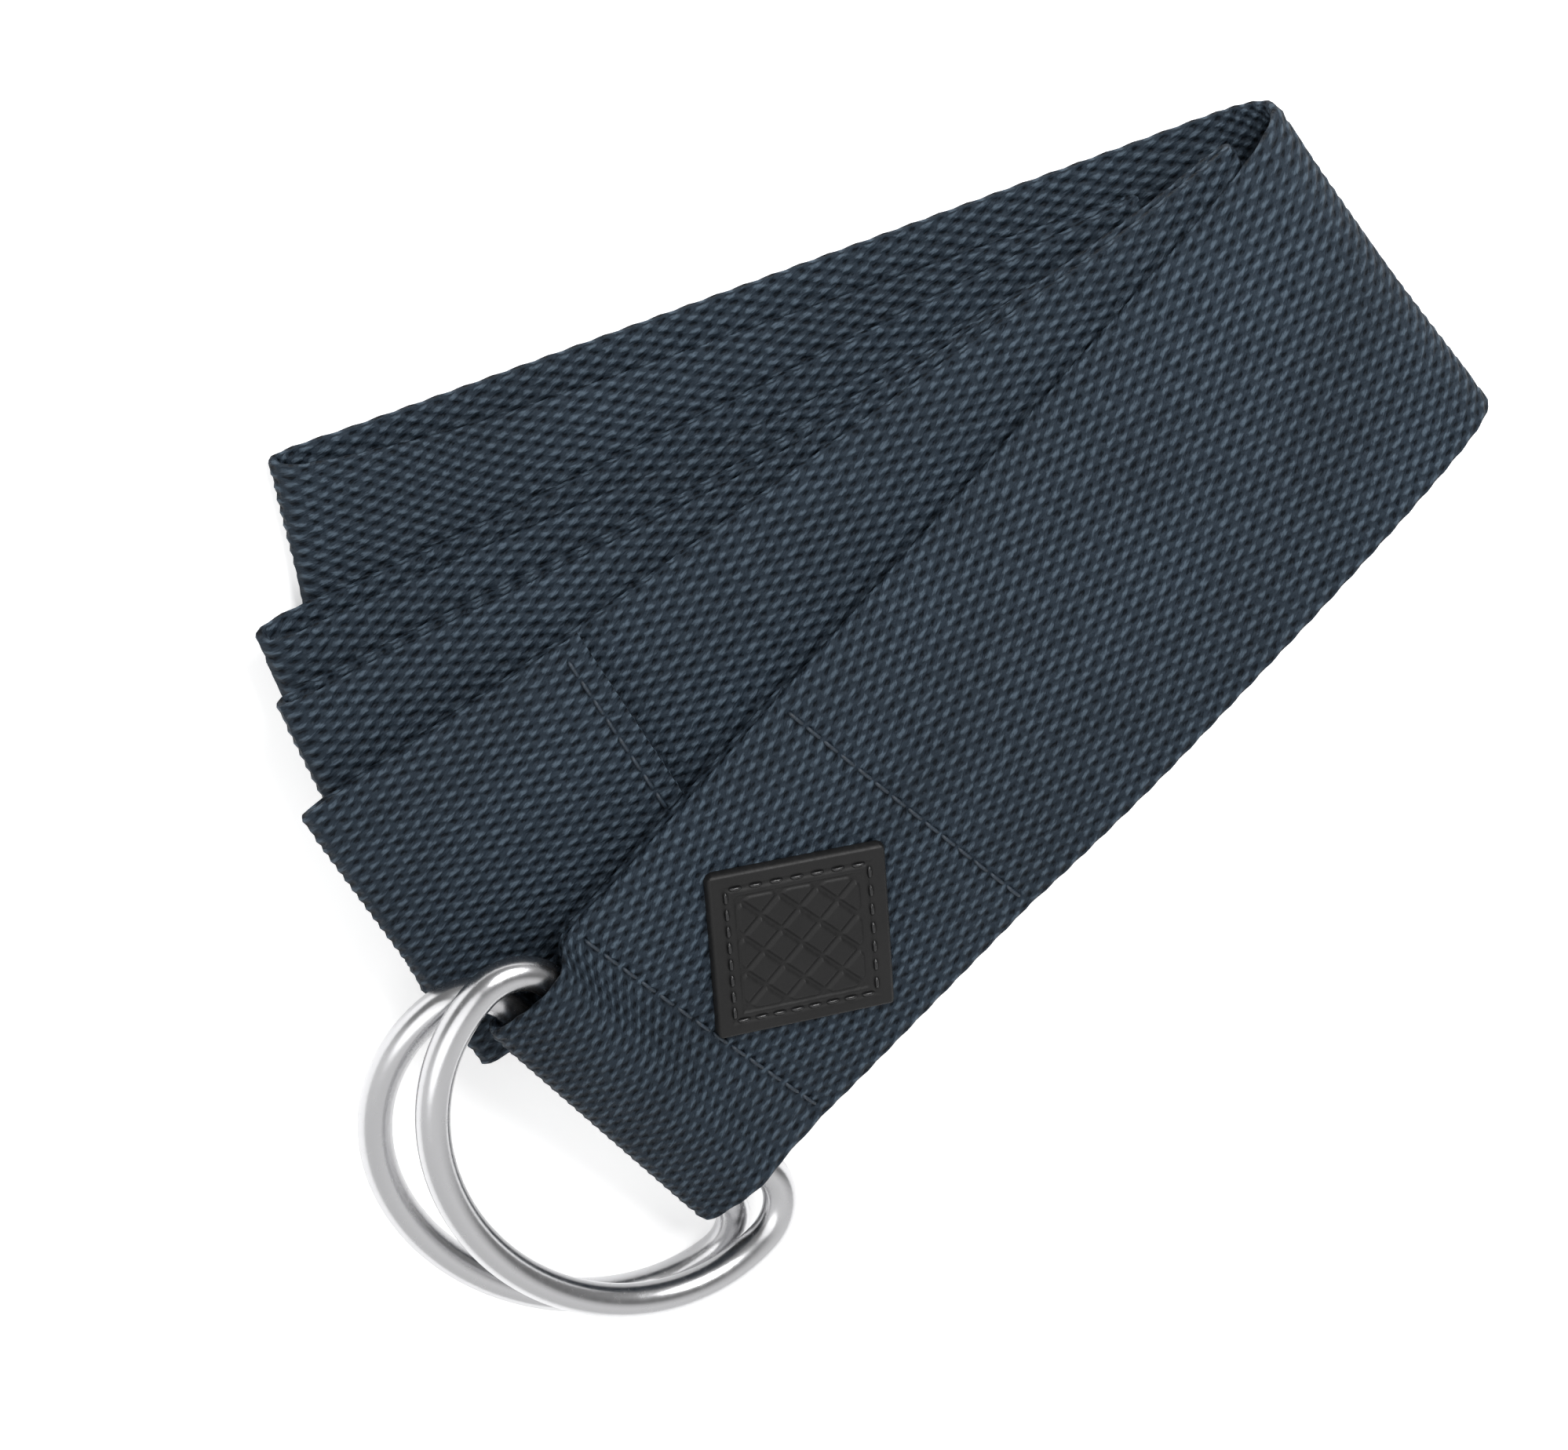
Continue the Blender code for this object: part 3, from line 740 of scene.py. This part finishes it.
turn_start, turn_end = row_near(turn_from), row_near(turn_to)
last_row = len(travelled) - 1
middle_x = grid[:, YARNS // 2, 0]
on_top = (travelled > turn_to) & (travelled <= loop_from)
pull = SEAM_PULL * dip(travelled - HEM_INSET, 0.7)
pull = pull + END_PINCH * (dip(travelled, 0.6) + dip(travelled[-1] - travelled, 0.6))
for seam_x in (RING_SEAM_X, TAIL_SEAM_X):
    pull = pull + on_top * SEAM_PULL * dip(middle_x - seam_x, 0.7)

webbing = webbing_material()
WOVEN = (
    ("webbing_bundle", "folded_webbing", 0, turn_start),
    ("webbing_turn", "outer_fold", turn_start, turn_end),
    ("webbing_ring_end", "ring_leg", turn_end, last_row),
)
skin, skin_normals, column = woven_skin(grid, normals, travelled, pull)
woven = {}
for piece_name, node, first, last in WOVEN:
    rows = slice(first, last + 1)
    piece = woven_piece(piece_name, skin[rows], skin_normals[rows], column, travelled[rows] / PICK)
    piece.data.materials.append(webbing)
    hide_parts(node)
    woven[piece_name] = piece
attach(woven["webbing_bundle"], "bundle")
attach(woven["webbing_ring_end"], "ring_end")
fold_lo, fold_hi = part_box("outer_fold")
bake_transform(woven["webbing_turn"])

# ---- rings ---------------------------------------------------------------------------
steel = steel_material()
for node, body in (("d_ring_front", "front_ring"), ("d_ring_rear", "rear_ring")):
    along, outward = ring_frame(RINGS[node])
    points, faces = tube(ring_outline(RINGS[node]), RING_WIRE_D / 2, 28, True,
                         np.cross(along, outward))
    ring = new_mesh(node + "_wire", points, faces)
    ring.data.materials.append(steel)
    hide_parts(node)
    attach(ring, body)

# ---- patch ---------------------------------------------------------------------------
ring_leg_rows = np.flatnonzero(on_top)
PAST_LOOP_START = 4.0         # the ring seam lies partly on the start of the loop
FREE_END_LENGTH = 34.0        # distance from the cut end that holds the hem's stitches
leg_tree = surface_tree(grid[(travelled > turn_to) & (travelled <= loop_from + PAST_LOOP_START)])
free_tree = surface_tree(grid[travelled < FREE_END_LENGTH])

PATCH_CELLS = 160
PATCH_INSET = 2.0             # from the patch's edge to its stitching
LATTICE = 3.0                 # pitch of the embossed diamonds
FRAME_AT = 6.9                # half side of the raised frame inside the stitching


def patch_plan():
    """Plan directions of the patch's two sides."""
    turned = math.radians(PATCH_TURN)
    return (np.array((math.cos(turned), math.sin(turned))),
            np.array((-math.sin(turned), math.cos(turned))))


def groove_at(distance, width, depth):
    return -depth * np.exp(-(distance / width) ** 2)


def patch_relief(u, v):
    """Height of the patch's face above the webbing, for points u, v from its middle."""
    half = PATCH_SIDE / 2
    outer = np.maximum(np.abs(u), np.abs(v))
    edge = half - outer
    height = PATCH_T * np.clip(edge / 0.45, 0.0, 1.0) ** 0.35
    stitch_line = half - PATCH_INSET
    height = height + groove_at(outer - stitch_line, 0.35, 0.22)
    inside = np.clip((FRAME_AT - outer) / 0.4, 0.0, 1.0)
    diamonds = np.maximum(np.cos(2 * np.pi * (u + v) / LATTICE / math.sqrt(2.0)),
                          np.cos(2 * np.pi * (u - v) / LATTICE / math.sqrt(2.0)))
    height = height - inside * 0.30 * np.clip((diamonds - 0.55) / 0.45, 0.0, 1.0) ** 1.5
    return height + groove_at(outer - FRAME_AT, 0.22, 0.20)


def build_patch():
    side, other = patch_plan()
    steps = np.linspace(-PATCH_SIDE / 2, PATCH_SIDE / 2, PATCH_CELLS + 1)
    u, v = np.meshgrid(steps, steps, indexing="ij")
    bow = 1.0 + 0.012 * np.cos(np.pi * u / PATCH_SIDE) * np.cos(np.pi * v / PATCH_SIDE)
    corner = np.clip(np.hypot(u, v) / (PATCH_SIDE / 2) - 1.36, 0.0, None)
    pull_in = bow * (1.0 - 0.5 * corner)
    relief = patch_relief(u, v)
    points, under = [], []
    for i in range(PATCH_CELLS + 1):
        for j in range(PATCH_CELLS + 1):
            plan = np.array(PATCH_CENTRE) + (side * u[i, j] + other * v[i, j]) * pull_in[i, j]
            spot, normal = on_surface(leg_tree, *plan)
            points.append(spot + normal * (WEBBING_T / 2 + relief[i, j]))
            under.append(spot + normal * (WEBBING_T / 2 - 0.1))
    count = PATCH_CELLS + 1
    index = np.arange(count * count).reshape(count, count)
    faces = []
    for i in range(PATCH_CELLS):
        for j in range(PATCH_CELLS):
            faces.append((index[i, j], index[i + 1, j], index[i + 1, j + 1], index[i, j + 1]))
    rim = (list(index[:, 0]) + list(index[-1, 1:]) + list(index[-2::-1, -1])
           + list(index[0, -2:0:-1]))
    base = len(points)
    points += [under[k] for k in rim]
    for k in range(len(rim)):
        n = (k + 1) % len(rim)
        faces.append((rim[n], rim[k], base + k, base + n))
    faces.append(tuple(base + k for k in range(len(rim)))[::-1])
    faces = [tuple(int(v) for v in face) for face in faces]
    return new_mesh("label_patch_embossed", np.array(points), faces)


patch = build_patch()
patch.data.materials.append(patch_material())
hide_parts("label_patch")
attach(patch, "ring_end")

# ---- stitching -----------------------------------------------------------------------
SEAM_SUNK = 0.42              # from the centre surface to the middle of a seam's thread
SEAM_THREAD = 0.42
SEAM_PITCH = 2.6
SEAM_LENGTH = 2.3
SEAM_EDGE = 1.2               # from a selvedge to the first stitch
PATCH_STITCH_PITCH = 2.0
PATCH_STITCH_LENGTH = 1.45
PATCH_THREAD = 0.42
PATCH_STITCH_SUNK = 0.30      # below the patch's face


def line_across(row):
    """Plan ends of a seam along one row of the ribbon, short of both selvedges."""
    near, far = grid[row, 1, :2], grid[row, -2, :2]
    inset = unit(far - near) * SEAM_EDGE
    return near + inset, far - inset


def leg_line(x):
    """Plan ends of a seam across the ring leg."""
    return line_across(ring_leg_rows[np.argmin(np.abs(middle_x[ring_leg_rows] - x))])


def hem_line():
    """Plan ends of the seam across the free end."""
    return line_across(np.argmin(np.abs(travelled - HEM_INSET)))


def add_stitches(name, node, body, runs, material):
    points, faces = join_runs(runs)
    obj = new_mesh(name, points, faces)
    obj.data.materials.append(material)
    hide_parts(node)
    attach(obj, body)


navy_thread = thread_material("navy thread", THREAD_NAVY, 0.6)
black_thread = thread_material("black thread", THREAD_BLACK, 0.35)
for name, x in (("ring_seam", RING_SEAM_X), ("tail_seam", TAIL_SEAM_X)):
    start, end = leg_line(x)
    add_stitches(name + "_stitches", name + "_stitching", "ring_end",
                 [stitch_row(leg_tree, start, end, SEAM_PITCH, SEAM_LENGTH, SEAM_THREAD,
                             SEAM_SUNK)], navy_thread)
start, end = hem_line()
add_stitches("hem_stitches", "hem_stitching", "bundle",
             [stitch_row(free_tree, start, end, SEAM_PITCH, SEAM_LENGTH, SEAM_THREAD,
                         SEAM_SUNK)], navy_thread)


def patch_stitches():
    side, other = patch_plan()
    reach = PATCH_SIDE / 2 - PATCH_INSET
    centre = np.array(PATCH_CENTRE)
    corners = [centre + side * a * reach + other * b * reach
               for a, b in ((-1, -1), (1, -1), (1, 1), (-1, 1))]
    runs = []
    for start, end in zip(corners, corners[1:] + corners[:1]):
        runs.append(stitch_row(leg_tree, start, end, PATCH_STITCH_PITCH, PATCH_STITCH_LENGTH,
                               PATCH_THREAD, WEBBING_T / 2 + PATCH_T - PATCH_STITCH_SUNK))
    return runs


add_stitches("patch_stitches", "patch_stitching", "ring_end", patch_stitches(), black_thread)


# ---- studio --------------------------------------------------------------------------
LENS = 171.53
CAMERA_AT = (0.11046, 0.27955, 0.74440)
CAMERA_AXES = ((0.65548, -0.73245, 0.18404),      # right, up and back
               (0.74090, 0.57643, -0.34467),
               (0.14637, 0.36228, 0.92050))
FLOOR_HALF = 3.0
LIGHTS = (                    # name, place, diameter and power
    ("key", (0.36, 0.12, 0.42), 0.35, 3.9),
    ("fill", (-0.30, 0.40, 0.80), 0.9, 3.0),
)
ROOM_STRENGTH = 0.82
ROOM_BRIGHT_SIDE = (-0.45, -0.215, 0.0)
ROOM_GREYS = ((0.0, 0.38), (0.43, 0.26), (0.56, 0.95), (0.70, 1.25), (1.0, 1.05))


def add_camera():
    data = bpy.data.cameras.new("camera")
    data.lens = LENS
    data.sensor_width = 36.0
    data.clip_start = 0.01
    data.clip_end = 20.0
    camera = bpy.data.objects.new("camera", data)
    turned = Matrix(CAMERA_AXES).transposed().to_4x4()
    camera.matrix_world = Matrix.Translation(CAMERA_AT) @ turned
    bpy.context.scene.collection.objects.link(camera)
    bpy.context.scene.camera = camera


def add_floor():
    half = FLOOR_HALF
    mesh = bpy.data.meshes.new("floor")
    corners = [(-half, -half, 0.0), (half, -half, 0.0), (half, half, 0.0), (-half, half, 0.0)]
    mesh.from_pydata(corners, [], [(0, 1, 2, 3)])
    floor = bpy.data.objects.new("floor", mesh)
    floor.data.materials.append(paper_material())
    bpy.context.scene.collection.objects.link(floor)


def add_light(name, position, size, power):
    """A round area light aimed at the middle of the floor."""
    data = bpy.data.lights.new(name, "AREA")
    data.shape = "DISK"
    data.size = size
    data.energy = power
    light = bpy.data.objects.new(name, data)
    light.location = position
    aim = -Vector(position)
    light.rotation_mode = "QUATERNION"
    light.rotation_quaternion = aim.to_track_quat("-Z", "Y")
    bpy.context.scene.collection.objects.link(light)


def add_world():
    """A room that is brighter on the ring side than on the fold side."""
    world_data = bpy.data.worlds.new("studio")
    world_data.use_nodes = True
    tree = world_data.node_tree
    background = tree.nodes["Background"]
    background.inputs["Strength"].default_value = ROOM_STRENGTH
    at = tree.nodes.new("ShaderNodeTexCoord")
    ramp = tree.nodes.new("ShaderNodeValToRGB")
    toward_rings = tree.nodes.new("ShaderNodeVectorMath")
    toward_rings.operation = "DOT_PRODUCT"
    toward_rings.inputs[1].default_value = ROOM_BRIGHT_SIDE
    centred = tree.nodes.new("ShaderNodeMath")
    centred.operation = "ADD"
    centred.inputs[1].default_value = 0.5
    tree.links.new(at.outputs["Generated"], toward_rings.inputs[0])
    tree.links.new(toward_rings.outputs["Value"], centred.inputs[0])
    tree.links.new(centred.outputs[0], ramp.inputs[0])
    tree.links.new(ramp.outputs[0], background.inputs["Color"])
    elements = ramp.color_ramp.elements
    while len(elements) < len(ROOM_GREYS):
        elements.new(0.5)
    for element, (position, grey) in zip(elements, ROOM_GREYS):
        element.position = position
        element.color = (grey, grey, grey, 1.0)
    bpy.context.scene.world = world_data


add_camera()
add_floor()
add_world()
for light in LIGHTS:
    add_light(*light)
bpy.context.scene.view_settings.view_transform = "Standard"
